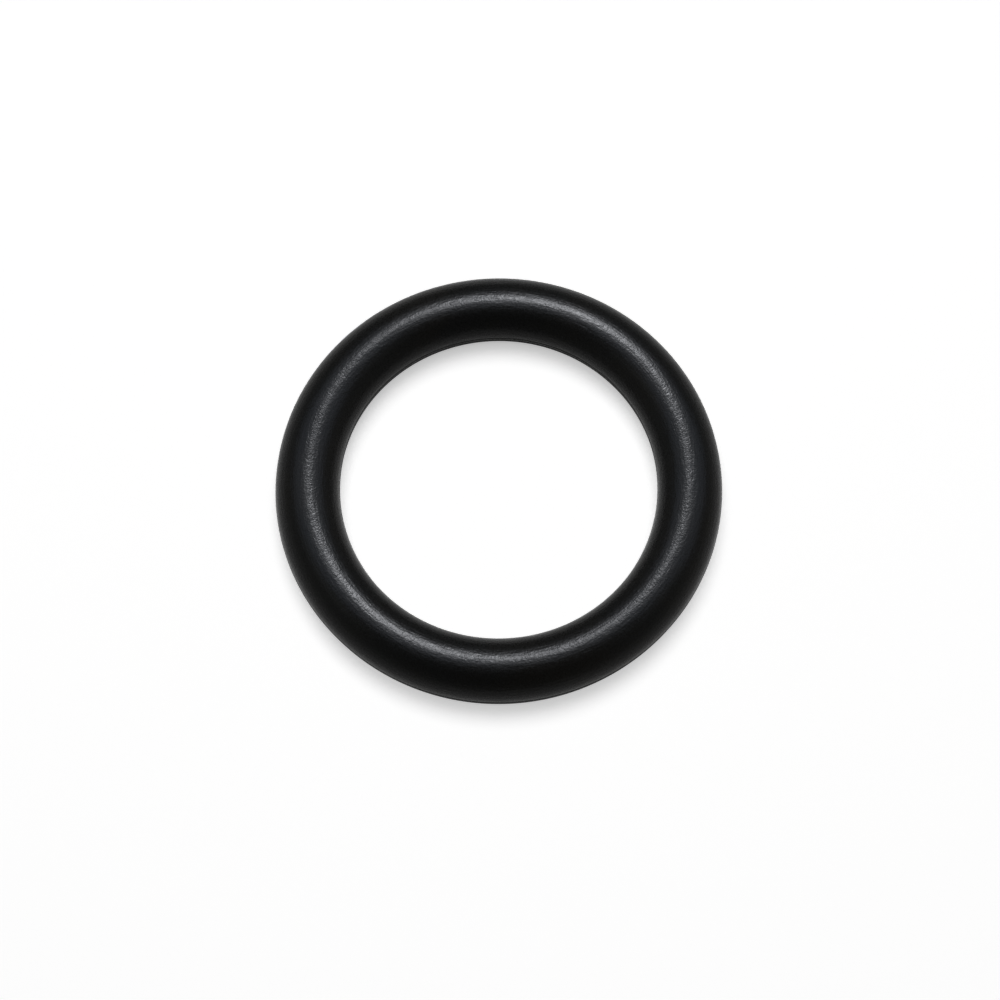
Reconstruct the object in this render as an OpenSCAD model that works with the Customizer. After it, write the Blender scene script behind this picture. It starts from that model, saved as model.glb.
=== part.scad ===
// Moulded rubber o-ring, lying flat. One solid: a round section swept in a full circle,
// with the fine trimmed ridge that the mould's parting plane leaves outside and in the bore.
// Millimetres, +Z up, origin at the ring's centre, on the parting plane.

/* [Ring] */
// Inside diameter, to the round section
bore_d = 26.34; // [3:0.01:200]
// Diameter of the round section
section_d = 5.33; // [1.78:0.01:8]

/* [Mould line] */
// How far the trimmed ridge stands proud of the section
ridge_h = 0.02; // [0.01:0.01:0.1]
// Width of the ridge's flat crest
ridge_crest_w = 0.12; // [0.05:0.01:0.2]
// Angle between the parting plane and the ridge's sides, in degrees
ridge_slope = 45; // [40:1:75]

/* [Hidden] */
$fn = 180;

section_r = section_d / 2;
// Radius of the circle that the section's centre runs along
ring_r = bore_d / 2 + section_r;
// The ridge reaches as far below the section's surface as it stands above it
ridge_crest_x = section_r + ridge_h;
ridge_root_x = section_r - ridge_h;
ridge_root_w = ridge_crest_w + 2 * (ridge_crest_x - ridge_root_x) / tan(ridge_slope);

// Cross-section of the outer ridge, about the section's own centre, X outwards
module ridge_profile() {
    polygon([
        [ridge_root_x, -ridge_root_w / 2],
        [ridge_crest_x, -ridge_crest_w / 2],
        [ridge_crest_x, ridge_crest_w / 2],
        [ridge_root_x, ridge_root_w / 2]
    ]);
}

// Cross-section of the ring about the same centre: half a turn puts the second ridge in the bore
module ring_profile() {
    circle(d = section_d);
    for (turn = [0, 180]) rotate(turn) ridge_profile();
}

module o_ring() {
    color([0.04, 0.04, 0.045])
        rotate_extrude()
            translate([ring_r, 0])
                ring_profile();
}

o_ring();
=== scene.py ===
"""A moulded black rubber o-ring that lies on a pale floor in soft studio light.

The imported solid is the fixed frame. The ring's own mesh takes its sizes from that frame, and its
rubber, the floor, the lights and the camera are built around it. Lengths are in metres unless a
name ends in _mm, or in _um for microns. The ring angle runs round the ring from +X, and the section
angle runs round the rubber's section from the outside, over the crown (a quarter turn), to the bore
(half a turn).
"""
import logging
import math
from dataclasses import dataclass, field
from enum import Enum
from typing import Any

import bmesh
import bpy
from mathutils import Matrix, Vector


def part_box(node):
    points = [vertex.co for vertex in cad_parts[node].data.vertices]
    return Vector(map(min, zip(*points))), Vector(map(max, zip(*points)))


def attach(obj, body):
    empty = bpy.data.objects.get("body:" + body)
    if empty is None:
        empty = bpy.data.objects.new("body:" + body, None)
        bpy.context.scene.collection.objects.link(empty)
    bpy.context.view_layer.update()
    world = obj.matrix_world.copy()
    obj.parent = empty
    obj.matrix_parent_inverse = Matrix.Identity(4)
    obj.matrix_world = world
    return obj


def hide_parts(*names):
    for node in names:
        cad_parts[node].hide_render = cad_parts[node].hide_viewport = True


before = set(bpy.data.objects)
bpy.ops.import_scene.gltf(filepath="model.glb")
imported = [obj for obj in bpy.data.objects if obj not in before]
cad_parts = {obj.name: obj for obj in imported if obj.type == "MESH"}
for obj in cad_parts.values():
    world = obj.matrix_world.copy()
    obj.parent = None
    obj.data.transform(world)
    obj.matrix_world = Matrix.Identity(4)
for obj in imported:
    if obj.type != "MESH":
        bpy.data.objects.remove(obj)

log = logging.getLogger("o_ring_scene")

MM = 0.001
MICRON = 0.000001
TURN = 2 * math.pi
BODY = "root"
CAD_NODE = "o_ring"
WRAP_MAP = "ring_wrap"

# The Principled shader reflects this share straight back at a specular level of 1
REFLECTANCE_AT_FULL_LEVEL = 0.08
# At an anisotropy of 1 it narrows one microfacet width by this share of the other
NARROWING_AT_FULL_ANISOTROPY = 0.9

Colour = tuple[float, float, float]
Point = tuple[float, float, float]
Span = tuple[float, float]


class Socket(Enum):
    """The kinds of socket that the shader groups use."""

    VALUE = "NodeSocketFloat"
    VECTOR = "NodeSocketVector"


def rgba(colour: Colour) -> tuple[float, float, float, float]:
    """Adds full opacity to a linear colour."""
    return (*colour, 1.0)


class NodeBench:
    """Adds and joins shader nodes in one tree, from left to right.

    Args:
        tree: The material's, world's or group's node tree.
    """

    COLUMN = 190.0

    def __init__(self, tree: bpy.types.NodeTree) -> None:
        """Keeps the tree and starts at its left edge."""
        self.tree = tree
        self.placed = 0

    def add(self, kind: str, settings: dict[str, Any] | None = None, **inputs: Any) -> bpy.types.Node:
        """Adds a node, sets its options and fills or links its inputs.

        Args:
            kind: The node's type, such as ShaderNodeMath.
            settings: The node's own options, by name.
            **inputs: A value or an output socket for each input. A name has underscores for
                spaces, and in0, in1 and so on name an input by its place.

        Returns:
            The new node.
        """
        node = self.tree.nodes.new(kind)
        node.location = (self.placed * self.COLUMN, 0.0)
        self.placed += 1
        for name, value in (settings or {}).items():
            setattr(node, name, value)
        for name, value in inputs.items():
            by_place = name.startswith("in") and name[2:].isdigit()
            socket = node.inputs[int(name[2:])] if by_place else node.inputs[name.replace("_", " ")]
            if isinstance(value, bpy.types.NodeSocket):
                self.tree.links.new(value, socket)
            else:
                socket.default_value = value
        return node

    def maths(self, operation: str, *values: Any) -> bpy.types.NodeSocket:
        """Adds a Math node.

        Args:
            operation: The node's operation, such as MULTIPLY.
            *values: A number or an output socket for each of its inputs.

        Returns:
            The node's output.
        """
        inputs = {f"in{place}": value for place, value in enumerate(values)}
        return self.add("ShaderNodeMath", {"operation": operation}, **inputs).outputs[0]

    def ramp(self, value: bpy.types.NodeSocket, span: Span) -> bpy.types.NodeSocket:
        """Maps a value onto 0 to 1 with eased ends, and holds it there outside.

        Args:
            value: The output socket to map.
            span: The value that becomes 0 and the value that becomes 1.

        Returns:
            The mapped value.
        """
        node = self.add(
            "ShaderNodeMapRange",
            {"interpolation_type": "SMOOTHSTEP"},
            Value=value,
            From_Min=span[0],
            From_Max=span[1],
        )
        return node.outputs[0]

    def blend(self, share: Any, first: Any, second: Any) -> bpy.types.NodeSocket:
        """Mixes two colours.

        Args:
            share: How much of the second shows, from 0 to 1.
            first: The colour at 0.
            second: The colour at 1.

        Returns:
            The mixed colour.
        """
        node = self.add("ShaderNodeMix", {"data_type": "RGBA"}, in0=share, in6=first, in7=second)
        return node.outputs[2]


def new_group(name: str, inputs: dict[str, Socket], outputs: dict[str, Socket]) -> bpy.types.NodeTree:
    """Starts a shader node group with named sockets.

    Args:
        name: The group's name.
        inputs: Each input's kind, by name.
        outputs: Each output's kind, by name.

    Returns:
        The group's empty tree.
    """
    group = bpy.data.node_groups.new(name, "ShaderNodeTree")
    for way, sockets in (("INPUT", inputs), ("OUTPUT", outputs)):
        for label, kind in sockets.items():
            group.interface.new_socket(label, in_out=way, socket_type=kind.value)
    return group


@dataclass(frozen=True)
class RingWrap:
    """Gives each point of the ring a place in a space where patterns follow the rubber.

    The space is in millimetres. Two of its axes carry the ring angle, on a circle that can be made
    smaller than the real one, so that a pattern is drawn out along the ring without a seam. The
    third runs round the section.

    Attributes:
        ring_radius_mm: Radius of the circle that the section's centre runs along.
        section_radius_mm: Radius of the section.
    """

    ring_radius_mm: float
    section_radius_mm: float

    def group(self) -> bpy.types.NodeTree:
        """Builds the group.

        Returns:
            A group with the input Stretch and the outputs Space and Section Angle.
        """
        tree = new_group(
            "ring_wrap_space",
            {"Stretch": Socket.VALUE},
            {"Space": Socket.VECTOR, "Section Angle": Socket.VALUE},
        )
        bench = NodeBench(tree)
        given = bench.add("NodeGroupInput")
        wrap = bench.add("ShaderNodeUVMap", {"uv_map": WRAP_MAP})
        parts = bench.add("ShaderNodeSeparateXYZ", Vector=wrap.outputs["UV"])
        ring_angle = bench.maths("MULTIPLY", parts.outputs["X"], TURN)
        section_angle = bench.maths("MULTIPLY", parts.outputs["Y"], TURN)
        radius = bench.maths("DIVIDE", self.ring_radius_mm, given.outputs["Stretch"])
        along = bench.maths("MULTIPLY", bench.maths("COSINE", ring_angle), radius)
        across = bench.maths("MULTIPLY", bench.maths("SINE", ring_angle), radius)
        around = bench.maths("MULTIPLY", section_angle, self.section_radius_mm)
        space = bench.add("ShaderNodeCombineXYZ", X=along, Y=across, Z=around)
        bench.add("NodeGroupOutput", Space=space.outputs[0], Section_Angle=section_angle)
        return tree


@dataclass(frozen=True)
class RubberFinish:
    """Satin black rubber with the fine wrinkled skin that it takes from the mould.

    The mould's cavity was turned, so its finest grooves run along the ring. They spread a
    reflection further round the section than along the ring. Just below the mould line the
    trimming has left the rubber duller.

    Attributes:
        base: The rubber's colour.
        warm_base: The colour of its faint brownish patches.
        patch_mm: Width of those patches.
        patch_detail: How much finer structure they have.
        patch_edges: The pattern's values between which a patch fades in.
        spread_round_section: The microfacet width round the section.
        spread_along_ring: The microfacet width along the ring.
        spread_turn: The angle from the ring's direction to the wider spread, in turns.
        reflectance: The share of light that is reflected straight back.
        roughness_swing: How much the roughness differs between the wrinkles.
        grain_edges: The wrinkles' values between which it does so.
        trimmed_roughness: How much rougher the trimmed band is.
        band_foot: Between which heights the band fades in, as shares of the section's radius.
        band_top: Between which heights it ends, at the mould line.
        wrinkle_mm: Width of one wrinkle.
        wrinkle_height_um: Height of the wrinkles, in microns.
        wrinkle_detail: How much finer structure the wrinkles have.
        wrinkle_distortion: How far they are bent.
        streak_mm: Width of the fine flow lines that run along the ring.
        streak_stretch: How many times longer than wide they are.
        streak_height_um: Height of the flow lines, in microns.
        streak_detail: How much finer structure they have.
    """

    base: Colour = (0.0050, 0.0051, 0.0049)
    warm_base: Colour = (0.0059, 0.0055, 0.0048)
    patch_mm: float = 6.0
    patch_detail: float = 3.0
    patch_edges: Span = (0.42, 0.68)
    spread_round_section: float = 0.11
    spread_along_ring: float = 0.06
    spread_turn: float = 0.25
    reflectance: float = 0.0057
    roughness_swing: float = 0.04
    grain_edges: Span = (0.3, 0.7)
    trimmed_roughness: float = 0.42
    band_foot: Span = (-0.8, -0.3)
    band_top: Span = (-0.08, 0.03)
    wrinkle_mm: float = 0.21
    wrinkle_height_um: float = 9.5
    wrinkle_detail: float = 0.0
    wrinkle_distortion: float = 1.0
    streak_mm: float = 0.18
    streak_stretch: float = 6.0
    streak_height_um: float = 14.0
    streak_detail: float = 1.0

    @property
    def roughness(self) -> float:
        """The Principled shader's roughness, whose square is the geometric mean of the two widths."""
        return (self.spread_round_section * self.spread_along_ring) ** 0.25

    @property
    def anisotropy(self) -> float:
        """The Principled shader's anisotropy for the two widths."""
        narrowing = 1.0 - self.spread_along_ring / self.spread_round_section
        return narrowing / NARROWING_AT_FULL_ANISOTROPY

    @property
    def specular_level(self) -> float:
        """The Principled shader's specular level for the reflectance."""
        return self.reflectance / REFLECTANCE_AT_FULL_LEVEL

    def skin_group(self) -> bpy.types.NodeTree:
        """Builds the height of the rubber's skin.

        Returns:
            A group with the inputs Point, Streak Space and the sizes, and the outputs Height, as
            a share of the wrinkles' height, and Grain.
        """
        tree = new_group(
            "moulded_skin",
            {
                "Point": Socket.VECTOR,
                "Streak Space": Socket.VECTOR,
                "Wrinkle Width": Socket.VALUE,
                "Streak Width": Socket.VALUE,
                "Streak Share": Socket.VALUE,
            },
            {"Height": Socket.VALUE, "Grain": Socket.VALUE},
        )
        bench = NodeBench(tree)
        given = bench.add("NodeGroupInput")
        wrinkle_scale = bench.maths("DIVIDE", 1.0, given.outputs["Wrinkle Width"])
        wrinkles = bench.add(
            "ShaderNodeTexNoise",
            {"noise_dimensions": "3D"},
            Vector=given.outputs["Point"],
            Scale=wrinkle_scale,
            Detail=self.wrinkle_detail,
            Distortion=self.wrinkle_distortion,
        )
        streak_scale = bench.maths("DIVIDE", 1.0, given.outputs["Streak Width"])
        streaks = bench.add(
            "ShaderNodeTexNoise",
            {"noise_dimensions": "3D"},
            Vector=given.outputs["Streak Space"],
            Scale=streak_scale,
            Detail=self.streak_detail,
        )
        lines = bench.maths("MULTIPLY", streaks.outputs[0], given.outputs["Streak Share"])
        height = bench.maths("ADD", wrinkles.outputs[0], lines)
        bench.add("NodeGroupOutput", Height=height, Grain=wrinkles.outputs[0])
        return tree

    def material(self, wrap: RingWrap) -> bpy.types.Material:
        """Builds the rubber.

        Args:
            wrap: The space that the flow lines and the trimmed band follow.

        Returns:
            The material.
        """
        material = bpy.data.materials.new("black_rubber_skin")
        material.use_nodes = True
        material.node_tree.nodes.clear()
        bench = NodeBench(material.node_tree)
        place = bench.add("ShaderNodeTexCoord")
        point = bench.add(
            "ShaderNodeMapping", Vector=place.outputs["Object"], Scale=(1 / MM, 1 / MM, 1 / MM)
        )
        stretched = bench.add("ShaderNodeGroup", {"node_tree": wrap.group()}, Stretch=self.streak_stretch)
        skin = bench.add(
            "ShaderNodeGroup",
            {"node_tree": self.skin_group()},
            Point=point.outputs[0],
            Streak_Space=stretched.outputs["Space"],
            Wrinkle_Width=self.wrinkle_mm,
            Streak_Width=self.streak_mm,
            Streak_Share=self.streak_height_um / self.wrinkle_height_um,
        )
        bump = bench.add(
            "ShaderNodeBump",
            Strength=1.0,
            Distance=self.wrinkle_height_um * MICRON,
            Height=skin.outputs["Height"],
        )
        patches = bench.add(
            "ShaderNodeTexNoise",
            Vector=point.outputs[0],
            Scale=1 / self.patch_mm,
            Detail=self.patch_detail,
        )
        warm = bench.ramp(patches.outputs[0], self.patch_edges)
        colour = bench.blend(warm, rgba(self.base), rgba(self.warm_base))
        grain = bench.ramp(skin.outputs["Grain"], self.grain_edges)
        lowest = self.roughness - self.roughness_swing / 2
        moulded = bench.maths("MULTIPLY_ADD", grain, self.roughness_swing, lowest)
        rise = bench.maths("SINE", stretched.outputs["Section Angle"])
        above_foot = bench.ramp(rise, self.band_foot)
        band = bench.maths("SUBTRACT", above_foot, bench.ramp(rise, self.band_top))
        roughness = bench.maths("MULTIPLY_ADD", band, self.trimmed_roughness, moulded)
        along = bench.add("ShaderNodeTangent", {"direction_type": "UV_MAP", "uv_map": WRAP_MAP})
        shader = bench.add(
            "ShaderNodeBsdfPrincipled",
            Base_Color=colour,
            Roughness=roughness,
            Anisotropic=self.anisotropy,
            Anisotropic_Rotation=self.spread_turn,
            Tangent=along.outputs[0],
            Normal=bump.outputs[0],
            Specular_IOR_Level=self.specular_level,
        )
        bench.add("ShaderNodeOutputMaterial", Surface=shader.outputs[0])
        return material


@dataclass
class MouldedRing:
    """The rubber ring: a round section swept in a full circle, with its trimmed mould line.

    Attributes:
        outer_radius: Radius at the outer mould line's crest, from the frame.
        section_radius: Radius of the round section, from the frame.
        ridge_height: How far the mould line stands proud of the section.
        crest_width: Width of the mould line's flat crest.
        crest_rounding: How far each corner of the crest is rounded.
        rounding_steps: Faces over each of those corners.
        arc_steps: Faces over each half of the section, above and below the mould line.
        quarter_steps: Faces round a quarter of the ring.
        finish: The rubber.
    """

    outer_radius: float
    section_radius: float
    ridge_height: float = 0.02 * MM
    crest_width: float = 0.12 * MM
    crest_rounding: float = 0.006 * MM
    rounding_steps: int = 2
    arc_steps: int = 44
    quarter_steps: int = 128
    finish: RubberFinish = field(default_factory=RubberFinish)

    @classmethod
    def from_frame(cls) -> "MouldedRing":
        """Takes the ring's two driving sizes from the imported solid's box, so that it fits inside."""
        low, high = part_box(CAD_NODE)
        return cls(outer_radius=high.x, section_radius=(high.z - low.z) / 2)

    @property
    def ring_radius(self) -> float:
        """Radius of the circle that the section's centre runs along."""
        return self.outer_radius - self.ridge_height - self.section_radius

    def draw_section(self, bm: bmesh.types.BMesh) -> None:
        """Draws the section's closed outline in the plane y = 0.

        Args:
            bm: The mesh to draw in.
        """
        centre = Vector((self.ring_radius, 0.0, 0.0))
        foot_height = self.crest_width / 2 + self.ridge_height
        foot_angle = math.asin(foot_height / self.section_radius)
        foot = centre + self.section_radius * Vector((math.cos(foot_angle), 0.0, math.sin(foot_angle)))
        start = bmesh.ops.create_vert(bm, co=foot)["vert"]
        bmesh.ops.spin(
            bm,
            geom=start,
            cent=centre,
            axis=(0.0, -1.0, 0.0),
            angle=math.pi - 2 * foot_angle,
            steps=self.arc_steps,
            use_duplicate=False,
        )
        half_span = self.section_radius + self.ridge_height
        for side in (1.0, -1.0):
            feet = [v for v in bm.verts if len(v.link_edges) == 1 and (v.co.x - centre.x) * side > 0]
            crest = bmesh.ops.extrude_vert_indiv(bm, verts=feet)["verts"]
            for corner in crest:
                corner.co = centre + Vector((side * half_span, 0.0, self.crest_width / 2))
        bmesh.ops.mirror(
            bm, geom=bm.verts[:] + bm.edges[:], matrix=Matrix.Identity(4), merge_dist=0.0, axis="Z"
        )
        for side in (1.0, -1.0):
            pair = [v for v in bm.verts if len(v.link_edges) == 1 and (v.co.x - centre.x) * side > 0]
            bmesh.ops.contextual_create(bm, geom=pair)

    def round_crests(self, bm: bmesh.types.BMesh) -> None:
        """Rounds the corners of both crests in the outline.

        Args:
            bm: The mesh that holds the outline.
        """
        reach = self.section_radius + self.ridge_height
        tolerance = self.ridge_height / 10
        corners = [v for v in bm.verts if abs(abs(v.co.x - self.ring_radius) - reach) < tolerance]
        bmesh.ops.bevel(
            bm,
            geom=corners,
            offset=self.crest_rounding,
            affect="VERTICES",
            segments=self.rounding_steps,
            profile=0.5,
            material=-1,
        )

    def sweep(self, bm: bmesh.types.BMesh) -> None:
        """Turns the outline through a quarter circle and mirrors that into the whole ring.

        Args:
            bm: The mesh that holds the outline.
        """
        bmesh.ops.spin(
            bm,
            geom=bm.verts[:] + bm.edges[:],
            cent=(0.0, 0.0, 0.0),
            axis=(0.0, 0.0, 1.0),
            angle=TURN / 4,
            steps=self.quarter_steps,
            use_duplicate=False,
        )
        for axis in ("X", "Y"):
            bmesh.ops.mirror(
                bm,
                geom=bm.verts[:] + bm.edges[:] + bm.faces[:],
                matrix=Matrix.Identity(4),
                merge_dist=MICRON,
                axis=axis,
            )

    def wrap(self, bm: bmesh.types.BMesh) -> None:
        """Lays a map round the ring: its ring angle across and its section angle up, in turns.

        Args:
            bm: The finished ring.
        """
        layer = bm.loops.layers.uv.new(WRAP_MAP)
        for face in bm.faces:
            middle = self.turns(face.calc_center_median())
            for loop in face.loops:
                here = self.turns(loop.vert.co)
                # Past a seam, a corner takes the value that is nearest to its face's middle
                loop[layer].uv = [
                    centre + (value - centre + 0.5) % 1.0 - 0.5 for centre, value in zip(middle, here)
                ]

    def turns(self, point: Vector) -> tuple[float, float]:
        """Works out a point's ring angle and section angle.

        Args:
            point: A point on the ring.

        Returns:
            Both angles, as shares of a turn.
        """
        ring_angle = math.atan2(point.y, point.x)
        section_angle = math.atan2(point.z, point.xy.length - self.ring_radius)
        return ring_angle / TURN, section_angle / TURN

    def build(self) -> bpy.types.Object:
        """Builds and dresses the ring.

        Returns:
            The finished piece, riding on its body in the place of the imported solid.
        """
        bm = bmesh.new()
        self.draw_section(bm)
        self.round_crests(bm)
        self.sweep(bm)
        bmesh.ops.remove_doubles(bm, verts=bm.verts[:], dist=MICRON)
        bmesh.ops.recalc_face_normals(bm, faces=bm.faces[:])
        self.wrap(bm)
        mesh = bpy.data.meshes.new("moulded_ring")
        bm.to_mesh(mesh)
        bm.free()
        mesh.shade_smooth()
        piece = bpy.data.objects.new("moulded_ring", mesh)
        bpy.context.scene.collection.objects.link(piece)
        wrap = RingWrap(self.ring_radius / MM, self.section_radius / MM)
        mesh.materials.append(self.finish.material(wrap))
        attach(piece, BODY)
        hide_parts(CAD_NODE)
        return piece


@dataclass(frozen=True)
class FloorFinish:
    """The smooth white sheet that the ring lies on, lit a little from below, with painted shade in its
    glow next to the ring.

    Attributes:
        colour: Its colour.
        roughness: Its roughness.
        glow: How brightly it glows by itself, where 1 shows as white.
        painted_shade_glow: How brightly it glows where the ring touches it, at the darkest of the painted
            contact shadow.
        painted_shade_reach_mm: How far from there the painted shadow reaches before the glow is at full
            strength.
        fibre_mm: Width of its fibres.
        fibre_detail: How much finer structure they have.
        fibre_height_um: Their height, in microns.
    """

    colour: Colour = (0.80, 0.80, 0.80)
    roughness: float = 0.75
    glow: float = 0.603
    painted_shade_glow: float = 0.06
    painted_shade_reach_mm: float = 2.7
    fibre_mm: float = 0.8
    fibre_detail: float = 4.0
    fibre_height_um: float = 1.0

    def material(self, ring_radius: float) -> bpy.types.Material:
        """Builds the sheet's material.

        Args:
            ring_radius: Radius of the circle on which the ring touches the sheet.

        Returns:
            The material, matt white with a hardly visible tooth, its glow dimmed towards the ring's
            contact as painted shade.
        """
        material = bpy.data.materials.new("white_sheet")
        material.use_nodes = True
        material.node_tree.nodes.clear()
        bench = NodeBench(material.node_tree)
        place = bench.add("ShaderNodeTexCoord")
        fibres = bench.add(
            "ShaderNodeTexNoise",
            Vector=place.outputs["Object"],
            Scale=1 / (self.fibre_mm * MM),
            Detail=self.fibre_detail,
        )
        bump = bench.add(
            "ShaderNodeBump", Distance=self.fibre_height_um * MICRON, Height=fibres.outputs[0]
        )
        # Painted shade: the sheet's glow is dimmed towards the circle where the ring touches it, as a
        # painted contact shadow.
        parts = bench.add("ShaderNodeSeparateXYZ", Vector=place.outputs["Object"])
        x_squared = bench.maths("MULTIPLY", parts.outputs["X"], parts.outputs["X"])
        from_axis = bench.maths(
            "SQRT", bench.maths("MULTIPLY_ADD", parts.outputs["Y"], parts.outputs["Y"], x_squared)
        )
        from_contact = bench.maths("ABSOLUTE", bench.maths("SUBTRACT", from_axis, ring_radius))
        unshaded_share = bench.ramp(from_contact, (0.0, self.painted_shade_reach_mm * MM))
        gain = self.glow - self.painted_shade_glow
        glow = bench.maths("MULTIPLY_ADD", unshaded_share, gain, self.painted_shade_glow)
        shader = bench.add(
            "ShaderNodeBsdfPrincipled",
            Base_Color=rgba(self.colour),
            Roughness=self.roughness,
            Specular_IOR_Level=0.0,
            Emission_Color=rgba((1.0, 1.0, 1.0)),
            Emission_Strength=glow,
            Normal=bump.outputs[0],
        )
        bench.add("ShaderNodeOutputMaterial", Surface=shader.outputs[0])
        return material


@dataclass
class Floor:
    """A pale floor that reaches past the camera's view on every side.

    Attributes:
        height: Where it lies.
        ring_radius: Radius of the circle on which the ring touches it.
        reach: Half its width.
        finish: The sheet that covers it.
    """

    height: float
    ring_radius: float
    reach: float = 3.0
    finish: FloorFinish = field(default_factory=FloorFinish)

    def build(self) -> bpy.types.Object:
        """Builds the floor.

        Returns:
            The floor.
        """
        bm = bmesh.new()
        lift = Matrix.Translation((0.0, 0.0, self.height))
        bmesh.ops.create_grid(bm, x_segments=1, y_segments=1, size=self.reach, matrix=lift)
        mesh = bpy.data.meshes.new("pale_floor")
        bm.to_mesh(mesh)
        bm.free()
        mesh.materials.append(self.finish.material(self.ring_radius))
        floor = bpy.data.objects.new("pale_floor", mesh)
        bpy.context.scene.collection.objects.link(floor)
        return floor


class Serves(Enum):
    """What a lamp of the studio is there for."""

    REFLECTIONS = "reflections"
    MATT_SURFACES = "matt surfaces"


class Face(Enum):
    """The outline of a lamp's face."""

    RECTANGLE = "RECTANGLE"
    ELLIPSE = "ELLIPSE"


@dataclass(frozen=True, kw_only=True)
class FlatLight:
    """A flat light that stands round the ring and faces it.

    Attributes:
        name: What it is called.
        azimuth: Direction from the ring to it, in degrees from +X.
        elevation: Its height above the floor's plane, in degrees.
        distance_mm: How far from the ring it is.
        along_mm: Its size along its own X.
        across_mm: Its size along its own Y.
        along_azimuth: The direction of its own X over the floor, in degrees.
        radiance: How bright its face is, where 1 shows as white.
        tint: Its colour.
    """

    name: str
    azimuth: float
    elevation: float
    distance_mm: float
    along_mm: float
    across_mm: float
    along_azimuth: float
    radiance: float
    tint: Colour = (1.0, 1.0, 1.0)

    def turned(self) -> Matrix:
        """Works out where the light stands and how it is turned.

        Returns:
            Its matrix. Its face looks along its own -Z.
        """
        azimuth, elevation = math.radians(self.azimuth), math.radians(self.elevation)
        away = Vector(
            (
                math.cos(elevation) * math.cos(azimuth),
                math.cos(elevation) * math.sin(azimuth),
                math.sin(elevation),
            )
        )
        over_floor = math.radians(self.along_azimuth)
        level = Vector((math.cos(over_floor), math.sin(over_floor), 0.0))
        along = (level - level.dot(away) * away).normalized()
        turn = Matrix((along, away.cross(along), away)).transposed().to_4x4()
        return Matrix.Translation(away * self.distance_mm * MM) @ turn


@dataclass(frozen=True, kw_only=True)
class Lamp(FlatLight):
    """An area lamp.

    Attributes:
        serves: What it lights.
        face: Its outline.
    """

    serves: Serves
    face: Face = Face.RECTANGLE

    @property
    def area(self) -> float:
        """The area of its face, in square metres."""
        box = self.along_mm * MM * self.across_mm * MM
        return box * math.pi / 4 if self.face is Face.ELLIPSE else box

    def build(self) -> bpy.types.Object:
        """Builds the lamp.

        Returns:
            The lamp's object.
        """
        light = bpy.data.lights.new(self.name, "AREA")
        light.shape = self.face.value
        light.size = self.along_mm * MM
        light.size_y = self.across_mm * MM
        light.color = self.tint
        light.energy = self.radiance * math.pi * self.area
        lamp = bpy.data.objects.new(self.name, light)
        lamp.matrix_world = self.turned()
        lamp.visible_camera = False
        lamp.visible_diffuse = self.serves is Serves.MATT_SURFACES
        lamp.visible_glossy = self.serves is Serves.REFLECTIONS
        bpy.context.scene.collection.objects.link(lamp)
        return lamp


@dataclass(frozen=True, kw_only=True)
class GlowCard(FlatLight):
    """A broad, dim card that only shows in the rubber's gloss."""

    def material(self) -> bpy.types.Material:
        """Builds the card's even glow.

        Returns:
            The material. Light paths meet it by chance and don't aim at it, as the card is broad.
        """
        material = bpy.data.materials.new(self.name)
        material.use_nodes = True
        material.node_tree.nodes.clear()
        bench = NodeBench(material.node_tree)
        glow = bench.add("ShaderNodeEmission", Color=rgba(self.tint), Strength=self.radiance)
        bench.add("ShaderNodeOutputMaterial", Surface=glow.outputs[0])
        material.cycles.emission_sampling = "NONE"
        return material

    def build(self) -> bpy.types.Object:
        """Builds the card.

        Returns:
            The card.
        """
        bm = bmesh.new()
        sides = Matrix.Diagonal((self.along_mm * MM / 2, self.across_mm * MM / 2, 1.0, 1.0))
        bmesh.ops.create_grid(bm, x_segments=1, y_segments=1, size=1.0, matrix=self.turned() @ sides)
        mesh = bpy.data.meshes.new(self.name)
        bm.to_mesh(mesh)
        bm.free()
        mesh.materials.append(self.material())
        card = bpy.data.objects.new(self.name, mesh)
        card.visible_camera = False
        card.visible_diffuse = False
        card.visible_shadow = False
        bpy.context.scene.collection.objects.link(card)
        return card


@dataclass(frozen=True)
class Surroundings:
    """The room around the ring, with pale walls, windows at both sides and a dim ceiling.

    Attributes:
        ceiling: Radiance straight above.
        walls: What the walls add at the horizon.
        sides: What the sides add, towards +X and -X.
        fading: The power with which both fade away from there.
        tint: The room's colour.
    """

    ceiling: float = 0.03
    walls: float = 0.30
    sides: float = 0.55
    fading: float = 2.0
    tint: Colour = (0.985, 1.0, 0.96)

    def build(self) -> bpy.types.World:
        """Builds the world.

        Returns:
            The world, in use in the scene.
        """
        world = bpy.data.worlds.new("pale_room")
        bpy.context.scene.world = world
        world.cycles_visibility.diffuse = False
        world.cycles.sampling_method = "NONE"
        world.use_nodes = True
        world.node_tree.nodes.clear()
        bench = NodeBench(world.node_tree)
        place = bench.add("ShaderNodeTexCoord")
        parts = bench.add("ShaderNodeSeparateXYZ", Vector=place.outputs["Generated"])
        rise = bench.maths("ABSOLUTE", parts.outputs["Z"])
        near_floor = bench.maths("POWER", bench.maths("SUBTRACT", 1.0, rise), self.fading)
        sideways = bench.maths("POWER", bench.maths("ABSOLUTE", parts.outputs["X"]), self.fading)
        dim = bench.maths("MULTIPLY_ADD", near_floor, self.walls, self.ceiling)
        radiance = bench.maths("MULTIPLY_ADD", sideways, self.sides, dim)
        glow = bench.add("ShaderNodeBackground", Color=rgba(self.tint), Strength=radiance)
        bench.add("ShaderNodeOutputWorld", Surface=glow.outputs[0])
        return world


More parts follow.
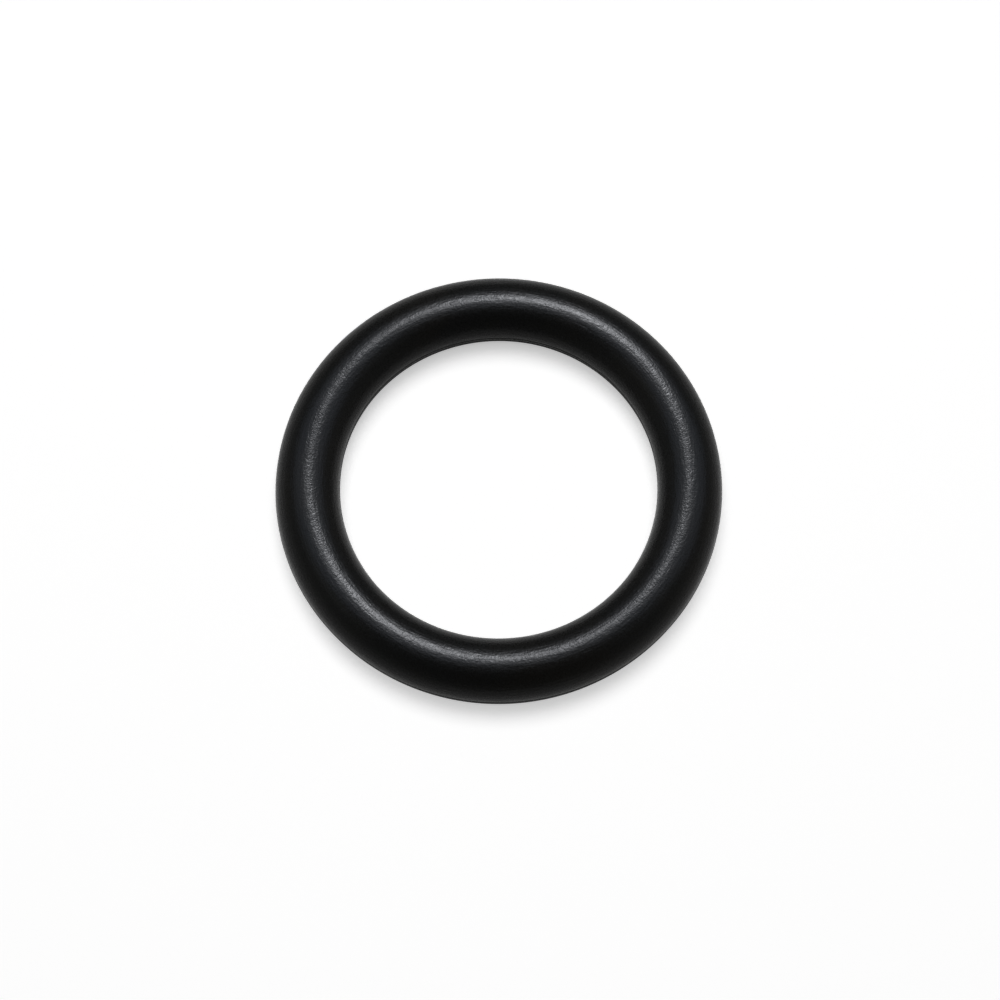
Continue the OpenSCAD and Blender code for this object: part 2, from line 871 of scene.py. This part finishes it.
@dataclass(frozen=True)
class ViewCamera:
    """The camera, which looks down on the ring from the front.

    Attributes:
        target_mm: The point at the middle of its view.
        elevation: How steeply it looks down, in degrees.
        distance_mm: How far from the target it stands.
        roll: How far it is turned about its own axis, in degrees.
        lens_mm: Its focal length.
        sensor_mm: Width of its sensor.
    """

    target_mm: Point = (0.083, -1.198, 0.0)
    elevation: float = 71.37
    distance_mm: float = 219.66
    roll: float = -1.32
    lens_mm: float = 95.5
    sensor_mm: float = 36.0

    def build(self) -> bpy.types.Object:
        """Builds the camera and makes it the scene's own.

        Returns:
            The camera's object.
        """
        data = bpy.data.cameras.new("view_camera")
        data.lens = self.lens_mm
        data.sensor_width = self.sensor_mm
        data.clip_start = MM
        camera = bpy.data.objects.new("view_camera", data)
        tilt = Matrix.Rotation(math.radians(90.0 - self.elevation), 4, "X")
        roll = Matrix.Rotation(math.radians(self.roll), 4, "Z")
        back_off = Matrix.Translation((0.0, 0.0, self.distance_mm * MM))
        camera.matrix_world = Matrix.Translation(Vector(self.target_mm) * MM) @ tilt @ roll @ back_off
        bpy.context.scene.collection.objects.link(camera)
        bpy.context.scene.camera = camera
        return camera


@dataclass
class Studio:
    """The floor, the lights, the room and the camera.

    Attributes:
        floor_height: Where the floor lies.
        ring_radius: Radius of the circle on which the ring touches the floor.
        strip: The narrow light that draws the bright line along the crown.
        panel: The broad, dim light that shows beside that line.
        left_card: The small dim card at the left, which lights the flanks.
        right_card: The one at the right.
        overhead: The light that casts the ring's soft shadow.
        surroundings: The room.
        camera: The camera.
    """

    floor_height: float
    ring_radius: float
    strip: Lamp = Lamp(
        name="strip_light",
        azimuth=82.1,
        elevation=62.5,
        distance_mm=179.0,
        along_mm=40.4,
        across_mm=3.0,
        along_azimuth=29.4,
        radiance=1275.0,
        serves=Serves.REFLECTIONS,
        tint=(0.985, 1.0, 1.045),
    )
    panel: GlowCard = GlowCard(
        name="side_panel",
        azimuth=84.0,
        elevation=70.4,
        distance_mm=200.0,
        along_mm=471.0,
        across_mm=165.0,
        along_azimuth=178.2,
        radiance=2.34,
        tint=(0.89, 1.0, 1.19),
    )
    left_card: GlowCard = GlowCard(
        name="left_card",
        azimuth=187.0,
        elevation=47.5,
        distance_mm=250.0,
        along_mm=120.0,
        across_mm=60.0,
        along_azimuth=97.0,
        radiance=1.4,
        tint=(0.98, 1.0, 0.93),
    )
    right_card: GlowCard = GlowCard(
        name="right_card",
        azimuth=-20.0,
        elevation=52.0,
        distance_mm=250.0,
        along_mm=90.0,
        across_mm=60.0,
        along_azimuth=70.0,
        radiance=0.9,
        tint=(0.97, 1.0, 0.94),
    )
    overhead: Lamp = Lamp(
        name="overhead_light",
        azimuth=92.7,
        elevation=79.9,
        distance_mm=528.0,
        along_mm=274.0,
        across_mm=313.0,
        along_azimuth=192.4,
        radiance=7.12,
        serves=Serves.MATT_SURFACES,
        face=Face.ELLIPSE,
    )
    surroundings: Surroundings = Surroundings()
    camera: ViewCamera = ViewCamera()

    def build(self) -> None:
        """Builds everything around the ring and reports each piece."""
        lights = (self.strip, self.panel, self.left_card, self.right_card, self.overhead)
        floor = Floor(self.floor_height, self.ring_radius)
        for part in (floor, *lights, self.surroundings, self.camera):
            log.info("%s: built", part.build().name)
        bpy.context.scene.view_settings.view_transform = "Standard"


def corners(bounds: Any) -> list[list[float]]:
    """Turns a pair of corners into plain lists."""
    return [[float(value) for value in corner] for corner in bounds]


def main() -> None:
    """Builds the ring and its studio."""
    logging.basicConfig(level=logging.INFO, format="%(name)s: %(message)s")
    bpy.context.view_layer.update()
    ring = MouldedRing.from_frame()
    piece = ring.build()
    section_mm = 2 * ring.section_radius / MM
    log.info("%s: %d faces on a %.3f mm section", piece.name, len(piece.data.polygons), section_mm)
    Studio(floor_height=-ring.section_radius, ring_radius=ring.ring_radius).build()


if __name__ == "__main__":
    main()
